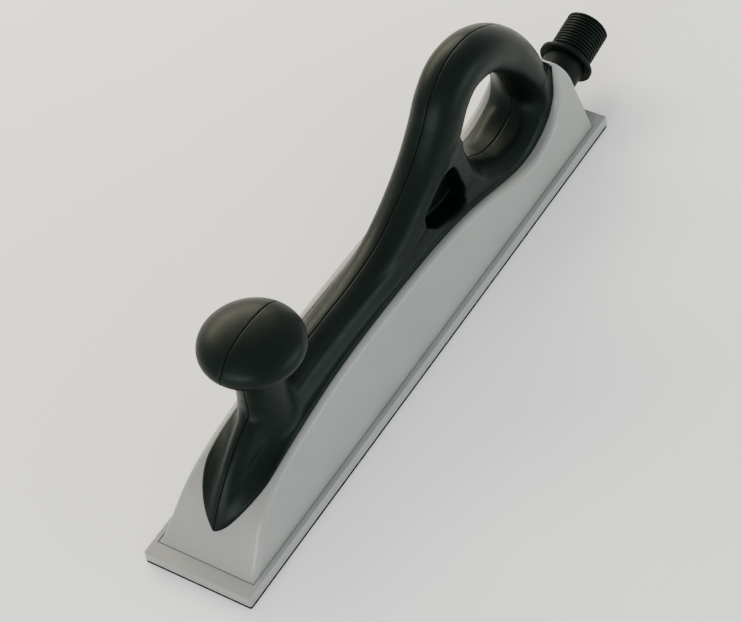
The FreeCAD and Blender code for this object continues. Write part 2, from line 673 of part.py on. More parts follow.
def spigot_o_ring():
    half = O_RING_WIDTH / 2
    return outlet_ring(SLEEVE_RADIUS + O_RING_SQUEEZE, O_RING_GROOVE_RADIUS, O_RING_STATION - half,
                       O_RING_STATION + half)


def spigot_clip():
    """Open retaining ring behind the neck's inner end."""
    ring = outlet_ring(CLIP_RADIUS, CLIP_GROOVE_RADIUS, CLIP_START, CLIP_START + CLIP_THICKNESS)
    middle = outlet_point(CLIP_START)
    gap = block(middle.x - CLIP_GAP_REACH, middle.x + CLIP_GAP_REACH, -CLIP_GAP_WIDTH / 2,
                CLIP_GAP_WIDTH / 2, 0, middle.z)
    return ring.cut(gap)


def build_nodes():
    """Every node of the block by name; a node of several pieces is a list of solids."""
    outside = body_outside()
    mounts = mount_points()
    shell = body_shell(outside, mounts)
    whole_handle = handle_outside(outside)
    return {
        "hook_face": [hook_face()],
        "pad": [pad()],
        "base_plate": [base_plate()],
        "plate_seal": [plate_seal()],
        "plate_screws": [plate_screw(x, y) for x, y in plate_screw_points()],
        "body_shell": [shell],
        "handle_left": [handle_half(whole_handle, mounts, -1)],
        "handle_right": [handle_half(whole_handle, mounts, 1)],
        "handle_clamp_screws": [clamp_screw(x, z) for x, z in CLAMP_SCREWS],
        "handle_mount_screws": [mount_screw(*place) for place in mounts],
        "handle_mount_washers": [mount_washer(*place) for place in mounts],
        "handle_mount_inserts": [mount_insert(*place) for place in mounts],
        "outlet_neck": [outlet_neck()],
        "neck_gasket": [neck_gasket()],
        "neck_locknut": [neck_locknut()],
        "swivel_spigot": [swivel_spigot()],
        "spigot_o_ring": [spigot_o_ring()],
        "spigot_clip": [spigot_clip()],
    }


def main():
    os.makedirs("parts", exist_ok=True)
    for name, solids in build_nodes().items():
        shape = solids[0] if len(solids) == 1 else Part.makeCompound(solids)
        for solid in solids:
            if not solid.isValid() or len(solid.Solids) != 1:
                print("CHECK", name, solid.isValid(), [s.Volume for s in solid.Solids])
        shape.exportStep(f"parts/{name}.step")
        print(name, round(shape.Volume), "mm3")


main()
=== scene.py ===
import math

import bmesh
import bpy
import numpy as np
from mathutils import Matrix, Vector
from mathutils.bvhtree import BVHTree


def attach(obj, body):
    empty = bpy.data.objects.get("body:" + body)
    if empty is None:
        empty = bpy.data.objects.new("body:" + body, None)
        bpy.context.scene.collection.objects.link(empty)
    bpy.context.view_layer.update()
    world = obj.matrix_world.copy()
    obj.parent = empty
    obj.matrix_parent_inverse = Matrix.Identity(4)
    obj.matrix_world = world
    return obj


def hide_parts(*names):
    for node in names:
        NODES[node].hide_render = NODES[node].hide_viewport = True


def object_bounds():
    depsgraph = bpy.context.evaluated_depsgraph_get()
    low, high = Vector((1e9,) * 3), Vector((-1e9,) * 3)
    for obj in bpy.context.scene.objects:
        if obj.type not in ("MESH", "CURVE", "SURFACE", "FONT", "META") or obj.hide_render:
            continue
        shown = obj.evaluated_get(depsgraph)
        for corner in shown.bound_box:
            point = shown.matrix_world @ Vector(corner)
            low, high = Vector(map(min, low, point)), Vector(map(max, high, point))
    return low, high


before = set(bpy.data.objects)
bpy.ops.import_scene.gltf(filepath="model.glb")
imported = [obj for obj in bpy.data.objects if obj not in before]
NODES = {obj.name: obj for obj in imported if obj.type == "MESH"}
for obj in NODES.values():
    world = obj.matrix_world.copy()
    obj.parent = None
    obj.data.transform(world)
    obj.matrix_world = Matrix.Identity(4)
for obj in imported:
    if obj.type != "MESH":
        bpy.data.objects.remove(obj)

CAD_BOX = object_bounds()
MM = 0.001

# ---- handle: driving sizes in millimetres, in the row frame, given for one side of y = 0 ----
# Bars follow a centre line in the plane y = 0. Each row is x, z, half thickness in that plane,
# and half width across it.
GRIP_BAR = [
    (-116, 55, 12, 12), (-85, 57.5, 12.5, 12.8), (-55, 58, 12.3, 13), (-25, 57.8, 12.2, 13.4),
    (5, 61.5, 12.5, 14), (30, 71, 14, 14.5), (52.4, 85.1, 14.6, 15), (69.9, 102.3, 15.1, 15.3),
    (80.6, 116.4, 14.9, 15.5), (93, 124.4, 14.3, 15.8), (108, 124.2, 14.3, 16),
    (124, 117.8, 13.8, 16.2), (138, 106.3, 14.2, 16.6), (148.6, 92, 14.4, 17.8),
    (156.6, 76, 13.2, 18.8), (160.2, 62, 10.8, 19.2), (161, 46, 10, 19),
]
GRIP_SQUARENESS = 2.15
TAIL_BAR = [
    (-171, 20, 7, 3), (-165, 29.5, 8.5, 5.6), (-154, 41.5, 9.5, 7.6), (-141, 52.5, 9.5, 8.2),
    (-127, 60, 10, 9.5), (-116, 63, 12, 12),
]
# Web under the grip bar, in side view.
WEB = [
    (-50, 52), (-20, 57), (10, 62), (32, 72), (50, 84), (60, 94), (69, 98), (76, 94),
    (81, 87), (85.5, 78), (90, 68), (96, 58), (104, 48), (112, 40), (108, 28), (60, 38), (0, 44),
]
# Skirt between the bar and the foot: x, half width at its waist, height of its top above the
# body, and how hollow its flank is.
SKIRT = [
    (-178, 1.0, 2.0, 3.0), (-170, 3.0, 4.0, 3.8), (-158, 5.5, 6.0, 4.2), (-147, 7.0, 7.5, 3.8),
    (-137, 9.0, 9.0, 2.6), (-127, 10.8, 9.5, 1.4), (-115, 10.9, 9.5, 1.1), (-85, 10.8, 9.5, 1.0),
    (-30, 11.2, 9.5, 1.0), (5, 13.3, 9.5, 1.0), (32, 14.2, 9.5, 1.2), (75, 15.0, 8.0, 1.3),
    (92, 15.6, 6.0, 1.4), (104, 17.2, 3.0, 1.2), (118, 18.8, 2.0, 1.0), (146, 18.8, 2.0, 1.0),
    (156, 17.8, 6.0, 1.0), (175, 17.8, 6.0, 1.0),
]
# The flank widens from the waist to the foot over this height, and leans by that factor.
SKIRT_REACH = 10.0
SKIRT_LEAN = 0.87
# Blind pocket in each face of the web, in side view, and how far its floor lies from y = 0.
POCKET = [
    (65.5, 81.5), (61, 86), (55, 87.5), (47, 83.5), (38, 78), (31.5, 74), (30, 69.5), (32, 64.5),
    (38.5, 57.5), (49, 54), (63, 51), (70, 52), (72, 57.5), (69.5, 68.5),
]
POCKET_FLOOR = 3.0
# Floor under the finger hole in side view.
FLOOR = [
    (84, 64), (92, 56), (100, 50), (110, 44), (124, 40), (136, 40), (146, 44), (154, 54),
    (158, 66), (166, 60), (166, 44), (150, 28), (127, 22), (104, 26), (80, 36),
]
# The finger hole where it is tightest, on y = 0: x, z, and how fast it flares towards the sides
# (its outline grows by flare * y * y).
THROAT = [
    (97, 54, 0.031), (91.6, 65, 0.043), (87.4, 77, 0.043), (83.4, 91, 0.034), (85.6, 100.8, 0.026),
    (89.4, 106.4, 0.02), (96.6, 110.2, 0.02), (105.1, 110, 0.02), (116.7, 106, 0.02),
    (128.6, 97, 0.02), (138.5, 85.3, 0.02), (145.6, 72.6, 0.02), (150.4, 62, 0.020),
    (152, 53, 0.018), (148, 46.9, 0.018), (141, 44, 0.020), (133, 42.3, 0.020),
    (124, 42.3, 0.020), (112, 45.2, 0.021), (104, 49.3, 0.024),
]
# Knob and neck: radius and height from the crown down to the foot, then where they stand.
KNOB_X = -116.0
KNOB_LIFT = 2.2
KNOB = [
    (0, 127.0), (7, 126.6), (14, 125.4), (20, 123.2), (25, 120), (28.2, 116.8), (29.7, 113.6),
    (29.9, 110.6), (28.8, 107.8), (25.4, 104.9), (20.8, 102.0), (17, 98.6), (15.0, 93.8),
    (14.2, 88), (14.0, 80), (14.2, 72), (14.8, 64), (15.6, 55), (16, 43), (0, 43),
]
# Foot on the body in plan, one side: x and half width.
FOOT = [
    (-177.0, 0.3), (-175.4, 4.0), (-172.4, 8), (-167, 12.6), (-160, 16.6), (-150, 19.8),
    (-138, 20.5), (-120, 20.2), (-85, 19.4), (-45, 19.0), (0, 18.8), (30, 19.0), (60, 19.9),
    (85, 20.7), (110, 21.0), (140, 20.9), (160, 20.5),
]
# Foot on the front of the horn: height and half width at its lower and upper end.
HORN_FOOT_LOW = (44.0, 20.2)
HORN_FOOT_HIGH = (72.0, 18.9)
FOOT_HEIGHT = 1.3
FOOT_SINK = 2.4
FOOT_INSET = 1.5
# The line where the handle stands on the body: its ends on the arch and the spacing of its points.
ARCH_LINE_START = -176.0
ARCH_LINE_END = 160.0
ARCH_LINE_STEP = 1.5
HORN_LINE_STEP = 2.0
# Above the horn that line runs on to this point, so that heights stay measured from the horn.
HORN_LINE_END = (169.4, 86.0)
# The handle ends at this x in front of the horn, and the foot and skirt at these heights.
HORN_LIMIT_X = 169.6
HORN_FOOT_TOP = 73.0
HORN_SKIRT_TOP = 69.0
# Section of the bead along the edge of the foot: outwards and up from the foot line.
BEAD = [
    (-4.0, -1.2), (-4.0, 1.5), (-2.0, 1.95), (-1.3, 1.7), (-0.7, 1.3), (-0.25, 0.9),
    (0.0, 0.5), (-0.15, 0.25), (-0.65, 0.1), (-0.8, -1.2),
]
BEAD_STEP = 1.2
# At the horn the bead sinks to this share of its height over this length.
BEAD_TAPER = 7.0
BEAD_END_SHARE = 0.05
# Fillets where parts of the handle meet.
BLEND_FOOT = 3.0
BLEND_WEB = 3.5
BLEND_FLOOR = 4.0
BLEND_SKIRT = 3.0
BLEND_NECK = 4.0
BLEND_TAIL = 3.0
# Rounded edges.
FOOT_ROUND = 1.0
FLANK_ROUND = 2.0
THROAT_ROUND = 1.0
POCKET_ROUND = 1.2
POCKET_FLOOR_ROUND = 2.0
RECESS_ROUND = 0.9
RECESS_FLOOR_ROUND = 0.4
SEAM_GAP = 0.10
SEAM_DEPTH = 0.30
CLAMP_RECESS_RADIUS = 3.2
CLAMP_RECESS_START = 6.4
# Points of one clamp screw lie closer together than this.
CLAMP_SCREW_REACH = 7.0
# Clamp screws in front of this x show no recess: a flush plug covers them.
COVERED_CLAMP_X = -125.0

# ---- handle: fineness of its surface, in millimetres ----
GRID_STEP = 0.9
GRID_X = (-181.0, 173.0)
GRID_Z = (10.0, 142.0)
GRID_LAST_Y = 33.0
SEAM_LAYERS = (-0.3, 0.3, 0.8, 1.5)
MAP_STEP = 0.5
SLOPE_STEP = 0.05
SETTLE_ROUNDS = 3
# Longest single move of a point, as a share of the grid's step, and the least slope squared.
SETTLE_REACH = 0.4
SETTLE_LEAST = 0.2
SHARP_ANGLE = 60.0
TINY = 1e-9

# ---- materials: the part of a noise's range that is used, and shared values ----
NOISE_RANGE = (0.3, 0.7)
MOTTLE_RANGE = (0.35, 0.7)
SOFT_MOTTLE_RANGE = (0.35, 0.65)
GREENISH_TINT = (0.86, 1.0, 0.93, 1)
METAL_LIGHTER = 1.12
METAL_ROUGHER = 0.15

# ---- camera and studio, in metres, degrees and watts ----
CAMERA_AZIMUTH = -50.71
CAMERA_ELEVATION = 48.76
CAMERA_ROLL = -10.07
CAMERA_DISTANCE = 1.523
CAMERA_LENS = 131.0
CAMERA_CLIP_START = 0.05
CAMERA_TARGET = Vector((-0.0192, -0.0047, 0.0410))
LIGHT_AIM = Vector((0, 0, 0.05))
# Soft boxes: name, place, width and height, power, colour.
LIGHTS = [
    ("warm_back", (0.60, 1.05, 0.72), (1.5, 0.5), 27, (1.0, 0.88, 0.68)),
    ("cool_side", (0.50, -1.50, 0.36), (1.2, 0.45), 13, (0.84, 1.0, 0.98)),
    ("front", (-1.50, -0.10, 0.60), (1.0, 0.5), 17, (1.0, 1.0, 1.0)),
]
SKY_COLOUR = (0.98, 1.0, 0.985, 1)
SKY_STRENGTH = 0.95
FLOOR_HALF = 4.0


# ---- numbers along curves ----

def spline_points(rows, per_span):
    """Points on a smooth curve through rows of numbers (centripetal Catmull-Rom)."""
    rows = np.array(rows, float)
    first = 2 * rows[0] - rows[1]
    last = 2 * rows[-1] - rows[-2]
    rows = np.vstack([first, rows, last])
    knots = np.zeros(len(rows))
    for index in range(1, len(rows)):
        span = np.linalg.norm(rows[index, :2] - rows[index - 1, :2])
        knots[index] = knots[index - 1] + math.sqrt(span)
    out = []
    for index in range(1, len(rows) - 2):
        p0, p1, p2, p3 = rows[index - 1:index + 3]
        t0, t1, t2, t3 = knots[index - 1:index + 3]
        for t in np.linspace(t1, t2, per_span, endpoint=False):
            a1 = (t1 - t) / (t1 - t0) * p0 + (t - t0) / (t1 - t0) * p1
            a2 = (t2 - t) / (t2 - t1) * p1 + (t - t1) / (t2 - t1) * p2
            a3 = (t3 - t) / (t3 - t2) * p2 + (t - t2) / (t3 - t2) * p3
            b1 = (t2 - t) / (t2 - t0) * a1 + (t - t0) / (t2 - t0) * a2
            b2 = (t3 - t) / (t3 - t1) * a2 + (t - t1) / (t3 - t1) * a3
            out.append((t2 - t) / (t2 - t1) * b1 + (t - t1) / (t2 - t1) * b2)
    out.append(rows[-2])
    return np.array(out)


def closed_spline(rows, per_span):
    """The same round a closed outline; the first point isn't repeated at the end."""
    wrapped = list(rows[-2:]) + list(rows) + list(rows[:2])
    points = spline_points(wrapped, per_span)
    return points[2 * per_span:-1 - per_span]


def smooth_min(a, b, size):
    """The lower of two fields, with a fillet of about that radius between them."""
    near = np.clip(size - np.abs(a - b), 0, None) / size
    return np.minimum(a, b) - near * near * size * 0.25


def smooth_max(a, b, size):
    return -smooth_min(-a, -b, size)


# ---- fields: how far a point lies outside a shape, in millimetres ----

class SideMap:
    """Values on a grid over the plane y = 0, read back at any x and z."""

    def __init__(self, low, high):
        self.low = low
        self.count = [int((b - a) / MAP_STEP) + 2 for a, b in zip(low, high)]
        u = low[0] + MAP_STEP * np.arange(self.count[0])
        v = low[1] + MAP_STEP * np.arange(self.count[1])
        self.u, self.v = np.meshgrid(u, v, indexing="ij")

    def read(self, values, u, v):
        fu = np.clip((u - self.low[0]) / MAP_STEP, 0, self.count[0] - 1.001)
        fv = np.clip((v - self.low[1]) / MAP_STEP, 0, self.count[1] - 1.001)
        iu = fu.astype(int)
        iv = fv.astype(int)
        fu = fu - iu
        fv = fv - iv
        near = values[iu, iv] * (1 - fv) + values[iu, iv + 1] * fv
        far = values[iu + 1, iv] * (1 - fv) + values[iu + 1, iv + 1] * fv
        return near * (1 - fu) + far * fu

    def nearest(self, line):
        """For each grid point: distance to a polyline, side of it, and its values there."""
        gap = np.full(self.u.shape, 1e9)
        turn = np.zeros(self.u.shape)
        carried = [np.zeros(self.u.shape) for _ in range(line.shape[1] - 2)]
        for a, b in zip(line, line[1:]):
            step = b[:2] - a[:2]
            length = step @ step
            if length < 1e-12:
                continue
            du = self.u - a[0]
            dv = self.v - a[1]
            t = np.clip((du * step[0] + dv * step[1]) / length, 0, 1)
            here = np.hypot(du - t * step[0], dv - t * step[1])
            closer = here < gap
            gap = np.where(closer, here, gap)
            turn = np.where(closer, step[0] * dv - step[1] * du, turn)
            for k, values in enumerate(carried):
                carried[k] = np.where(closer, a[2 + k] + t * (b[2 + k] - a[2 + k]), values)
        return gap, turn, carried


SIDE = SideMap((-190, 5), (182, 148))
TURNED = SideMap((0, 35), (48, 140))


def outline_distance(points, grid):
    """Signed distance from a closed outline, negative inside, on a map's grid."""
    ring = np.vstack([points, points[:1]])
    gap = grid.nearest(ring[:, :2])[0]
    inside = np.zeros(grid.u.shape, bool)
    for (u0, v0), (u1, v1) in zip(ring[:, :2], ring[1:, :2]):
        if v0 != v1:
            crosses = (grid.v < v0) != (grid.v < v1)
            at = u0 + (grid.v - v0) * (u1 - u0) / (v1 - v0)
            inside ^= crosses & (grid.u < at)
    return np.where(inside, -gap, gap)


class Bar:
    """A bar of oval section along a curved centre line in the plane y = 0."""

    def __init__(self, rows, squareness):
        self.power = squareness
        self.gap, _, (self.thick, self.wide) = SIDE.nearest(spline_points(rows, 14))

    def field(self, x, y, z):
        gap = SIDE.read(self.gap, x, z)
        thick = SIDE.read(self.thick, x, z)
        wide = SIDE.read(self.wide, x, z)
        ratio = (gap / thick) ** self.power + (np.abs(y) / wide) ** self.power
        ratio = np.maximum(ratio, 1e-6) ** (1 / self.power)
        reach = np.sqrt(gap * gap + y * y) + 1e-3
        return reach * (1 - 1 / ratio)


def body_hit(tree, start, direction):
    """Where a ray meets the body: x and z in millimetres."""
    place = tree.ray_cast(Vector([c * MM for c in start]), Vector(direction))[0]
    return place.x / MM, place.z / MM


def contact_line():
    """Where the handle stands on the body: x, z and half width, read off the body's own top."""
    mesh = NODES["body_shell"].data
    tree = BVHTree.FromPolygons([v.co for v in mesh.vertices],
                                [p.vertices for p in mesh.polygons])
    foot = spline_points(FOOT, 6)
    beside_seam = 1.0
    above_body = 1000.0
    before_horn = 150.0
    rows = []
    for x in np.append(FOOT[0][0], np.arange(ARCH_LINE_START, ARCH_LINE_END, ARCH_LINE_STEP)):
        z = body_hit(tree, (x, beside_seam, above_body), (0, 0, -1))[1]
        rows.append((x, z, np.interp(x, foot[:, 0], foot[:, 1])))
    low_z, low_half = HORN_FOOT_LOW
    high_z, high_half = HORN_FOOT_HIGH
    for z in np.arange(low_z, high_z + MAP_STEP, HORN_LINE_STEP):
        x = body_hit(tree, (before_horn, beside_seam, z), (1, 0, 0))[0]
        rows.append((x, z, np.interp(z, (low_z, high_z), (low_half, high_half))))
    return np.array(rows)


class Handle:
    """The whole handle as one smooth field, which the two halves are cut from."""

    def __init__(self, contact):
        self.grip = Bar(GRIP_BAR, GRIP_SQUARENESS)
        self.tail = Bar(TAIL_BAR, 2.0)
        self.web = outline_distance(closed_spline(WEB, 5), SIDE)
        self.floor = outline_distance(closed_spline(FLOOR, 5), SIDE)
        self.pocket = outline_distance(closed_spline(POCKET, 8), SIDE)
        self.knob = outline_distance(spline_points(KNOB, 8), TURNED)
        throat = closed_spline(THROAT, 8)
        self.throat = outline_distance(throat, SIDE)
        self.flare = SIDE.nearest(np.vstack([throat, throat[:1]]))[2][0]
        skirt = spline_points(SKIRT, 8)
        self.skirt = [(skirt[:, 0], skirt[:, k]) for k in (1, 2, 3)]
        line = np.vstack([contact, (*HORN_LINE_END, contact[-1, 2])])
        gap, turn, (half,) = SIDE.nearest(line)
        self.height = np.where(turn > 0, gap, -gap)
        self.half = half
        self.recesses = [place for place in clamp_places() if place[0] >= COVERED_CLAMP_X]

    def foot_field(self, across, height, z, edge):
        """Band along the body's top and up the front of the horn."""
        foot = smooth_max(across - edge, height - FOOT_HEIGHT, FOOT_ROUND)
        return smooth_max(foot, z - HORN_FOOT_TOP, FOOT_ROUND)

    def web_field(self, x, across, z, height, edge):
        """Web, floor of the finger hole and skirt, which share one pair of flanks."""
        waist, top, hollow = (np.interp(x, *rows) for rows in self.skirt)
        waist = np.minimum(waist, edge)
        drop = np.clip((SKIRT_REACH - height) / (SKIRT_REACH - FOOT_HEIGHT), 0, 1) ** hollow
        flank = (across - waist - (edge - waist) * drop) * SKIRT_LEAN
        skirt = smooth_max(height - top, z - HORN_SKIRT_TOP, FLANK_ROUND)
        side = smooth_min(SIDE.read(self.web, x, z), SIDE.read(self.floor, x, z), BLEND_FLOOR)
        side = smooth_min(side, skirt, BLEND_SKIRT)
        return smooth_max(side, flank, FLANK_ROUND)

    def cut_openings(self, whole, x, y, z):
        """Cuts the finger hole, which flares to both sides, and the blind pockets."""
        flare = SIDE.read(self.flare, x, z)
        throat = flare * y * y - SIDE.read(self.throat, x, z)
        throat = throat / np.sqrt(1 + 4 * (flare * y) ** 2)
        whole = smooth_max(whole, throat, THROAT_ROUND)
        pocket = smooth_max(SIDE.read(self.pocket, x, z), POCKET_FLOOR - np.abs(y),
                            POCKET_FLOOR_ROUND)
        return smooth_max(whole, -pocket, POCKET_ROUND)

    def field(self, x, y, z):
        """Outside form of the handle, without its screw recesses."""
        across = np.abs(y)
        height = SIDE.read(self.height, x, z)
        edge = SIDE.read(self.half, x, z) - FOOT_INSET
        tail = smooth_max(self.tail.field(x, y, z), across - edge, FOOT_ROUND)
        knob = TURNED.read(self.knob, np.hypot(x - KNOB_X, y), z - KNOB_LIFT)
        web = self.web_field(x, across, z, height, edge)
        whole = smooth_min(self.grip.field(x, y, z), web, BLEND_WEB)
        whole = smooth_min(whole, tail, BLEND_TAIL)
        whole = smooth_min(whole, knob, BLEND_NECK)
        whole = smooth_min(whole, self.foot_field(across, height, z, edge), BLEND_FOOT)
        whole = self.cut_openings(whole, x, y, z)
        whole = np.maximum(whole, -FOOT_SINK - height)
        return np.maximum(whole, x - HORN_LIMIT_X)

    def right_field(self, x, y, z):
        """The same with the recesses for the clamp screws, which enter from the right."""
        whole = self.field(x, y, z)
        for cx, cz in self.recesses:
            recess = np.hypot(x - cx, z - cz) - CLAMP_RECESS_RADIUS
            recess = smooth_max(recess, CLAMP_RECESS_START - np.abs(y), RECESS_FLOOR_ROUND)
            whole = smooth_max(whole, -recess, RECESS_ROUND)
        return whole


def clamp_places():
    """Where the clamp screws stand: the centre of each one in x and z, in millimetres."""
    mesh = NODES["handle_clamp_screws"].data
    found = []
    for vertex in mesh.vertices:
        x = vertex.co.x / MM
        z = vertex.co.z / MM
        for group in found:
            if math.hypot(x - group[0][0], z - group[0][1]) < CLAMP_SCREW_REACH:
                group.append((x, z))
                break
        else:
            found.append([(x, z)])
    return [tuple((np.min(g, 0) + np.max(g, 0)) / 2) for g in found]


# ---- surface of a field ----

def grid_lines():
    """Grid of the handle: even in x and z, and finer across the seam at y = 0."""
    ys = list(SEAM_LAYERS)
    while ys[-1] < GRID_LAST_Y:
        ys.append(ys[-1] + GRID_STEP)
    return np.arange(*GRID_X, GRID_STEP), np.array(ys), np.arange(*GRID_Z, GRID_STEP)


def part_of_grid(axis, start, end):
    """Slices for the part of a grid between two layers of one axis."""
    cut = [slice(None)] * 3
    cut[axis] = slice(start, end)
    return cut


def crossing_points(values, inside, grids, cells):
    """For each grid cell: sum of the points where its edges leave the shape, and their number."""
    total = np.zeros(cells + (3,))
    hits = np.zeros(cells)
    for axis in range(3):
        low = tuple(part_of_grid(axis, 0, -1))
        high = tuple(part_of_grid(axis, 1, None))
        cross = inside[low] != inside[high]
        fall = np.where(cross, values[low] - values[high], 1)
        t = np.clip(values[low] / np.where(np.abs(fall) < TINY, 1, fall), 0, 1)
        others = [k for k in range(3) if k != axis]
        for shifts in ((0, 0), (0, 1), (1, 0), (1, 1)):
            part = [slice(None)] * 3
            for other, shift in zip(others, shifts):
                part[other] = slice(shift, shift + cells[other])
            part = tuple(part)
            hits += cross[part]
            for k in range(3):
                start = grids[k][low][part]
                move = t[part] * (grids[k][high][part] - start) if k == axis else 0
                total[..., k] += np.where(cross[part], start + move, 0)
    return total, hits


def surface_net(field, lines):
    """Quads over the zero surface of a field on a box grid, with a flat face at the first layer.

    Also tells which points lie on the rim of that face and which inside it.
    """
    grids = np.meshgrid(*lines, indexing="ij")
    values = field(*[g.ravel() for g in grids]).reshape(grids[0].shape)
    inside = values < 0
    inside[:, 0, :] = False
    cells = tuple(n - 1 for n in values.shape)
    total, hits = crossing_points(values, inside, grids, cells)
    active = hits > 0
    index = np.full(cells, -1)
    index[active] = np.arange(active.sum())
    points = total[active] / hits[active][:, None]
    layer = inside[:, 1, :]
    full = layer[:-1, :-1] & layer[1:, :-1] & layer[:-1, 1:] & layer[1:, 1:]
    cell = np.argwhere(active)
    first = cell[:, 1] == 0
    flat = first & full[cell[:, 0], cell[:, 2]]
    return points, net_quads(inside, index), first & ~flat, flat


def net_quads(inside, index):
    """One quad across each grid edge that leaves the shape, wound to face outwards."""
    quads = []
    for axis in range(3):
        others = [k for k in range(3) if k != axis]
        low = part_of_grid(axis, 0, -1)
        high = part_of_grid(axis, 1, None)
        for k in others:
            low[k] = slice(1, -1)
            high[k] = slice(1, -1)
        a = inside[tuple(low)]
        where = np.argwhere(a != inside[tuple(high)])
        leaves = a[tuple(where.T)]
        where[:, others] += 1
        corners = []
        for shift_a, shift_b in ((-1, -1), (0, -1), (0, 0), (-1, 0)):
            cell = where.copy()
            cell[:, others[0]] += shift_a
            cell[:, others[1]] += shift_b
            corners.append(index[tuple(cell.T)])
        quad = np.stack(corners, 1)
        turned = leaves if axis == 1 else ~leaves
        quad[turned] = quad[turned][:, ::-1]
        quads.append(quad)
    return np.vstack(quads)


def settle(points, field, flat_y):
    """Moves points along the field's slope onto its zero surface; some keep their y."""
    step = SLOPE_STEP
    for _ in range(SETTLE_ROUNDS):
        x, y, z = points.T
        value = field(x, y, z)
        slope = np.stack([
            field(x + step, y, z) - field(x - step, y, z),
            field(x, y + step, z) - field(x, y - step, z),
            field(x, y, z + step) - field(x, y, z - step),
        ], 1) / (2 * step)
        slope[flat_y, 1] = 0
        size = np.maximum((slope * slope).sum(1), SETTLE_LEAST)
        move = -(value / size)[:, None] * slope
        length = np.linalg.norm(move, axis=1)
        limit = SETTLE_REACH * GRID_STEP
        move *= np.minimum(1, limit / np.maximum(length, TINY))[:, None]
        points = points + move
    length = np.linalg.norm(slope, axis=1)
    return points, slope / np.maximum(length, TINY)[:, None]


def form_surface(field):
    """Half of the handle for y > 0, with the edge of its joint face drawn slightly in."""
    points, quads, rim, flat = surface_net(field, grid_lines())
    free = ~flat
    moved, slope = settle(points[free], field, rim[free])
    points[free] = moved
    drawn_in = np.zeros_like(points)
    drawn_in[free] = slope * SEAM_DEPTH
    points[rim] -= drawn_in[rim]
    points[rim | flat, 1] = SEAM_GAP
    return points, quads


# ---- bead along the foot ----

def even_line(rows, step):
    """Resamples a polyline at an even spacing."""
    lengths = np.linalg.norm(np.diff(rows, axis=0), axis=1)
    along = np.concatenate([[0], np.cumsum(lengths)])
    stations = np.linspace(0, along[-1], int(along[-1] / step) + 1)
    return np.stack([np.interp(stations, along, rows[:, k]) for k in range(rows.shape[1])], 1)


def bead_surface(contact):
    """Rounded bead along the edge of the foot on the side y > 0."""
    line = even_line(contact[:, [0, 2, 1]], BEAD_STEP)
    side_run = np.gradient(line[:, [0, 2]], axis=0)
    side_run /= np.linalg.norm(side_run, axis=1)[:, None]
    up = np.stack([-side_run[:, 1], np.zeros(len(line)), side_run[:, 0]], 1)
    run = np.gradient(line, axis=0)
    run /= np.linalg.norm(run, axis=1)[:, None]
    out = np.cross(up, run)
    out /= np.linalg.norm(out, axis=1)[:, None]
    left = (len(line) - 1 - np.arange(len(line))) * BEAD_STEP
    swell = np.sqrt(np.clip(left / BEAD_TAPER, BEAD_END_SHARE, 1))
    points = []
    for across, height in BEAD:
        tall = height * swell if height > 0 else height * np.ones(len(line))
        points.append(line + out * across + up * tall[:, None])
    points = np.stack(points, 1)
    points[..., 1] = np.maximum(points[..., 1], SEAM_GAP)
    count = len(BEAD)
    quads = []
    for station in range(len(line) - 1):
        for k in range(count):
            a = station * count + k
            b = station * count + (k + 1) % count
            quads.append((a, b, b + count, a + count))
    last = (len(line) - 1) * count
    ends = [tuple(range(count))[::-1], tuple(range(last, last + count))]
    return points.reshape(-1, 3), quads + ends


def handle_half(name, node, side, form, bead):
    """One half of the handle: its form and the bead along its foot."""
    points = np.vstack([form[0], bead[0]])
    faces = [tuple(q) for q in form[1].tolist()]
    faces += [tuple(k + len(form[0]) for k in face) for face in bead[1]]
    points[:, 1] *= side
    mesh = bpy.data.meshes.new(name)
    mesh.from_pydata((points * MM).tolist(), [], faces)
    build = bmesh.new()
    build.from_mesh(mesh)
    bmesh.ops.recalc_face_normals(build, faces=build.faces)
    for face in build.faces:
        face.smooth = True
    build.to_mesh(mesh)
    build.free()
    mesh.set_sharp_from_angle(angle=math.radians(SHARP_ANGLE))
    piece = bpy.data.objects.new(name, mesh)
    bpy.context.scene.collection.objects.link(piece)
    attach(piece, "block")
    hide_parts(node)
    return piece


# ---- materials ----

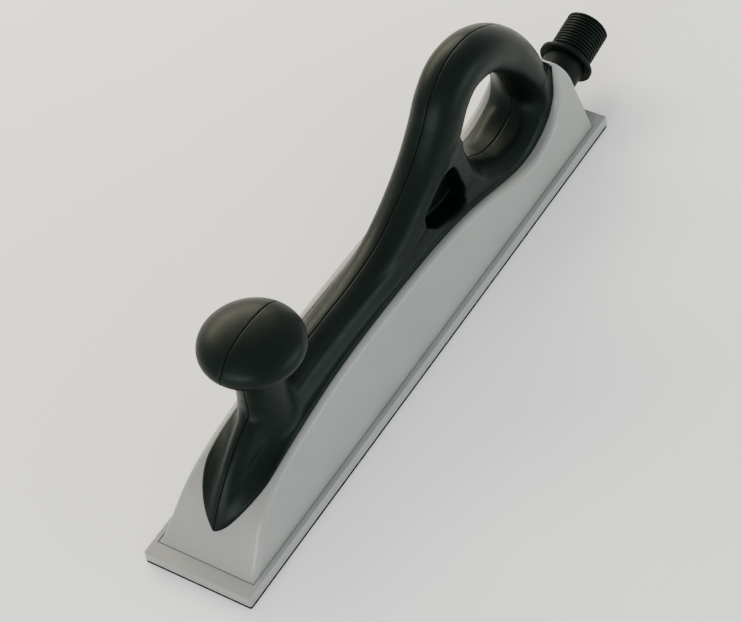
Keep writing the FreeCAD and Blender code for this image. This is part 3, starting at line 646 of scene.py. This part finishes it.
class Nodes:
    """Short way to write a node material; sizes and depths are in millimetres."""

    def __init__(self, name):
        self.material = bpy.data.materials.new(name)
        self.material.use_nodes = True
        self.tree = self.material.node_tree
        self.tree.nodes.clear()
        self.shader = self.add("ShaderNodeBsdfPrincipled")
        output = self.add("ShaderNodeOutputMaterial")
        self.link(self.shader.outputs[0], output.inputs["Surface"])
        self.place = self.add("ShaderNodeTexCoord").outputs["Object"]

    def add(self, kind, **settings):
        node = self.tree.nodes.new(kind)
        for key, value in settings.items():
            setattr(node, key, value)
        return node

    def link(self, source, target):
        self.tree.links.new(source, target)

    def noise(self, size, detail=2.0, rough=0.5):
        """Noise whose features are about size across."""
        node = self.add("ShaderNodeTexNoise")
        node.inputs["Scale"].default_value = 1 / (size * MM)
        node.inputs["Detail"].default_value = detail
        node.inputs["Roughness"].default_value = rough
        self.link(self.place, node.inputs["Vector"])
        return node.outputs["Fac"]

    def cells(self, size):
        """Rounded cells about size across."""
        node = self.add("ShaderNodeTexVoronoi", feature="F1")
        node.inputs["Scale"].default_value = 1 / (size * MM)
        self.link(self.place, node.inputs["Vector"])
        return node.outputs["Distance"]

    def spread(self, value, old, new=(0, 1)):
        """Stretches one range of values onto another."""
        node = self.add("ShaderNodeMapRange")
        for key, number in zip(("From Min", "From Max", "To Min", "To Max"), (*old, *new)):
            node.inputs[key].default_value = number
        self.link(value, node.inputs["Value"])
        return node.outputs["Result"]

    def bump(self, height, depth, strength=1.0, under=None):
        """Relief of that depth, on top of another relief or none."""
        node = self.add("ShaderNodeBump")
        node.inputs["Distance"].default_value = depth * MM
        node.inputs["Strength"].default_value = strength
        self.link(height, node.inputs["Height"])
        if under is not None:
            self.link(under, node.inputs["Normal"])
        return node.outputs["Normal"]

    def colour(self, amount, first, second):
        """Base colour between two colours."""
        node = self.add("ShaderNodeMix", data_type="RGBA")
        self.link(amount, node.inputs["Factor"])
        node.inputs["A"].default_value = (*first, 1)
        node.inputs["B"].default_value = (*second, 1)
        self.link(node.outputs["Result"], self.shader.inputs["Base Color"])

    def roughness(self, pattern, low, high):
        """Roughness that follows the middle of a noise's range."""
        self.link(self.spread(pattern, NOISE_RANGE, (low, high)), self.shader.inputs["Roughness"])

    def relief(self, normal):
        self.link(normal, self.shader.inputs["Normal"])

    def set(self, name, value):
        self.shader.inputs[name].default_value = value


def grey_plastic():
    """Satin moulded grey with a faint spark grain and very slight mottling."""
    n = Nodes("grey_plastic")
    mottle = n.spread(n.noise(38, 3), SOFT_MOTTLE_RANGE)
    n.colour(mottle, (0.202, 0.207, 0.197), (0.222, 0.226, 0.215))
    n.roughness(n.noise(9, 4), 0.34, 0.42)
    grain = n.bump(n.noise(0.55, 2), 0.02, 0.5)
    n.relief(n.bump(n.noise(22, 1), 0.12, 0.35, grain))
    n.set("IOR", 1.5)
    return n.material


def handle_plastic():
    """Charcoal black with a fine leathery moulding grain."""
    n = Nodes("handle_plastic")
    mottle = n.spread(n.noise(26, 4, 0.6), MOTTLE_RANGE)
    n.colour(mottle, (0.0014, 0.0036, 0.0028), (0.0024, 0.0050, 0.0038))
    n.roughness(n.noise(7, 4), 0.36, 0.44)
    n.set("Specular IOR Level", 0.11)
    n.set("Specular Tint", GREENISH_TINT)
    pits = n.spread(n.cells(0.75), (0.0, 0.7))
    grain = n.bump(pits, 0.05, 0.55)
    n.relief(n.bump(n.noise(0.4, 2), 0.02, 0.4, grain))
    n.set("IOR", 1.5)
    return n.material


def outlet_plastic():
    """Dull black moulded plastic of the hose outlet."""
    n = Nodes("outlet_plastic")
    mottle = n.spread(n.noise(12, 4, 0.6), MOTTLE_RANGE)
    n.colour(mottle, (0.0036, 0.0068, 0.0056), (0.0060, 0.0092, 0.0078))
    n.roughness(n.noise(4, 3), 0.42, 0.55)
    n.set("Specular IOR Level", 0.06)
    n.set("Specular Tint", GREENISH_TINT)
    n.relief(n.bump(n.noise(0.5, 2), 0.02, 0.5))
    return n.material


def inner_plastic():
    """Matt black plate inside the body."""
    n = Nodes("inner_plastic")
    mottle = n.spread(n.noise(15, 3), MOTTLE_RANGE)
    n.colour(mottle, (0.028, 0.028, 0.028), (0.040, 0.040, 0.039))
    n.roughness(n.noise(5, 3), 0.5, 0.62)
    n.relief(n.bump(n.noise(0.7, 2), 0.02, 0.5))
    return n.material


def rubber(name, dark, light, grain_size):
    """Matt rubber with a fine open grain."""
    n = Nodes(name)
    n.colour(n.spread(n.noise(6, 4), NOISE_RANGE), dark, light)
    n.roughness(n.noise(2, 3), 0.68, 0.85)
    n.relief(n.bump(n.cells(grain_size), 0.06, 0.6))
    n.set("Specular IOR Level", 0.1)
    return n.material


def hook_fabric():
    """Hook tape: small hooks seen from below."""
    n = Nodes("hook_fabric")
    hooks = n.cells(1.1)
    n.colour(n.spread(hooks, (0.1, 0.6)), (0.016, 0.016, 0.016), (0.004, 0.004, 0.004))
    n.roughness(n.noise(1.5, 3), 0.6, 0.8)
    n.relief(n.bump(hooks, 0.35, 0.9))
    n.set("Specular IOR Level", 0.1)
    return n.material


def metal(name, colour, rough):
    """Plated or turned metal with fine marks."""
    n = Nodes(name)
    lighter = tuple(min(1, METAL_LIGHTER * c) for c in colour)
    n.colour(n.spread(n.noise(1.2, 4), NOISE_RANGE), colour, lighter)
    n.roughness(n.noise(0.6, 3), rough, rough + METAL_ROUGHER)
    n.relief(n.bump(n.noise(0.3, 2), 0.01, 0.5))
    n.set("Metallic", 1.0)
    return n.material


def floor_paper():
    """Pale matt paper with a very slight unevenness."""
    n = Nodes("floor_paper")
    n.colour(n.noise(400, 3), (0.90, 0.90, 0.90), (0.94, 0.94, 0.94))
    n.set("Roughness", 0.95)
    n.set("Specular IOR Level", 0.1)
    return n.material


def paint(node, material):
    """Gives a CAD node or a piece one material."""
    piece = NODES[node] if isinstance(node, str) else node
    piece.data.materials.clear()
    piece.data.materials.append(material)


def paint_all(left, right):
    """Materials of all pieces."""
    handle = handle_plastic()
    outlet = outlet_plastic()
    seal = rubber("seal_rubber", (0.012, 0.012, 0.012), (0.022, 0.022, 0.022), 0.5)
    steel = metal("screw_steel", (0.55, 0.55, 0.53), 0.25)
    paint(left, handle)
    paint(right, handle)
    paint("body_shell", grey_plastic())
    paint("pad", rubber("pad_rubber", (0.003, 0.003, 0.003), (0.007, 0.007, 0.007), 0.6))
    paint("hook_face", hook_fabric())
    paint("base_plate", inner_plastic())
    for name in ("outlet_neck", "neck_locknut", "swivel_spigot"):
        paint(name, outlet)
    for name in ("plate_seal", "neck_gasket", "spigot_o_ring"):
        paint(name, seal)
    for name in ("plate_screws", "handle_clamp_screws", "handle_mount_screws",
                 "handle_mount_washers"):
        paint(name, steel)
    paint("spigot_clip", metal("clip_steel", (0.3, 0.3, 0.3), 0.3))
    paint("handle_mount_inserts", metal("insert_brass", (0.62, 0.45, 0.18), 0.3))


# ---- studio ----

def add_camera():
    """Camera at the set angle and distance from its target, rolled about its own axis."""
    azimuth = math.radians(CAMERA_AZIMUTH)
    elevation = math.radians(CAMERA_ELEVATION)
    roll = math.radians(CAMERA_ROLL)
    back = Vector((math.sin(azimuth) * math.cos(elevation),
                   -math.cos(azimuth) * math.cos(elevation), math.sin(elevation)))
    right = (-back).cross(Vector((0, 0, 1))).normalized()
    up = back.cross(right)
    turned_right = math.cos(roll) * right + math.sin(roll) * up
    turned_up = -math.sin(roll) * right + math.cos(roll) * up
    data = bpy.data.cameras.new("camera")
    data.lens = CAMERA_LENS
    data.clip_start = CAMERA_CLIP_START
    camera = bpy.data.objects.new("camera", data)
    turn = Matrix((turned_right, turned_up, back)).transposed().to_4x4()
    camera.matrix_world = Matrix.Translation(CAMERA_TARGET + back * CAMERA_DISTANCE) @ turn
    bpy.context.scene.collection.objects.link(camera)
    bpy.context.scene.camera = camera


def add_light(name, place, size, power, colour):
    """Soft box of that width and height, aimed at the part."""
    data = bpy.data.lights.new(name, "AREA")
    data.shape = "RECTANGLE"
    data.size = size[0]
    data.size_y = size[1]
    data.energy = power
    data.color = colour
    light = bpy.data.objects.new(name, data)
    direction = LIGHT_AIM - Vector(place)
    turn = direction.to_track_quat("-Z", "Y").to_matrix().to_4x4()
    light.matrix_world = Matrix.Translation(Vector(place)) @ turn
    bpy.context.scene.collection.objects.link(light)


def add_floor():
    """Plain pale floor just under the part."""
    low = CAD_BOX[0][2]
    corners = [(FLOOR_HALF * a, FLOOR_HALF * b, low) for a, b in ((-1, -1), (1, -1), (1, 1), (-1, 1))]
    mesh = bpy.data.meshes.new("floor")
    mesh.from_pydata(corners, [], [(0, 1, 2, 3)])
    floor = bpy.data.objects.new("floor", mesh)
    bpy.context.scene.collection.objects.link(floor)
    floor.data.materials.append(floor_paper())


def add_studio():
    """Warm soft box at the far side, low cool and white ones near, floor, and a pale sky."""
    add_floor()
    world = bpy.data.worlds.new("studio")
    bpy.context.scene.world = world
    world.use_nodes = True
    background = world.node_tree.nodes["Background"]
    background.inputs["Color"].default_value = SKY_COLOUR
    background.inputs["Strength"].default_value = SKY_STRENGTH
    for row in LIGHTS:
        add_light(*row)


def main():
    add_camera()
    contact = contact_line()
    handle = Handle(contact)
    bead = bead_surface(contact)
    left = handle_half("handle_left_form", "handle_left", -1, form_surface(handle.field), bead)
    right = handle_half("handle_right_form", "handle_right", 1,
                        form_surface(handle.right_field), bead)
    paint_all(left, right)
    add_studio()


main()
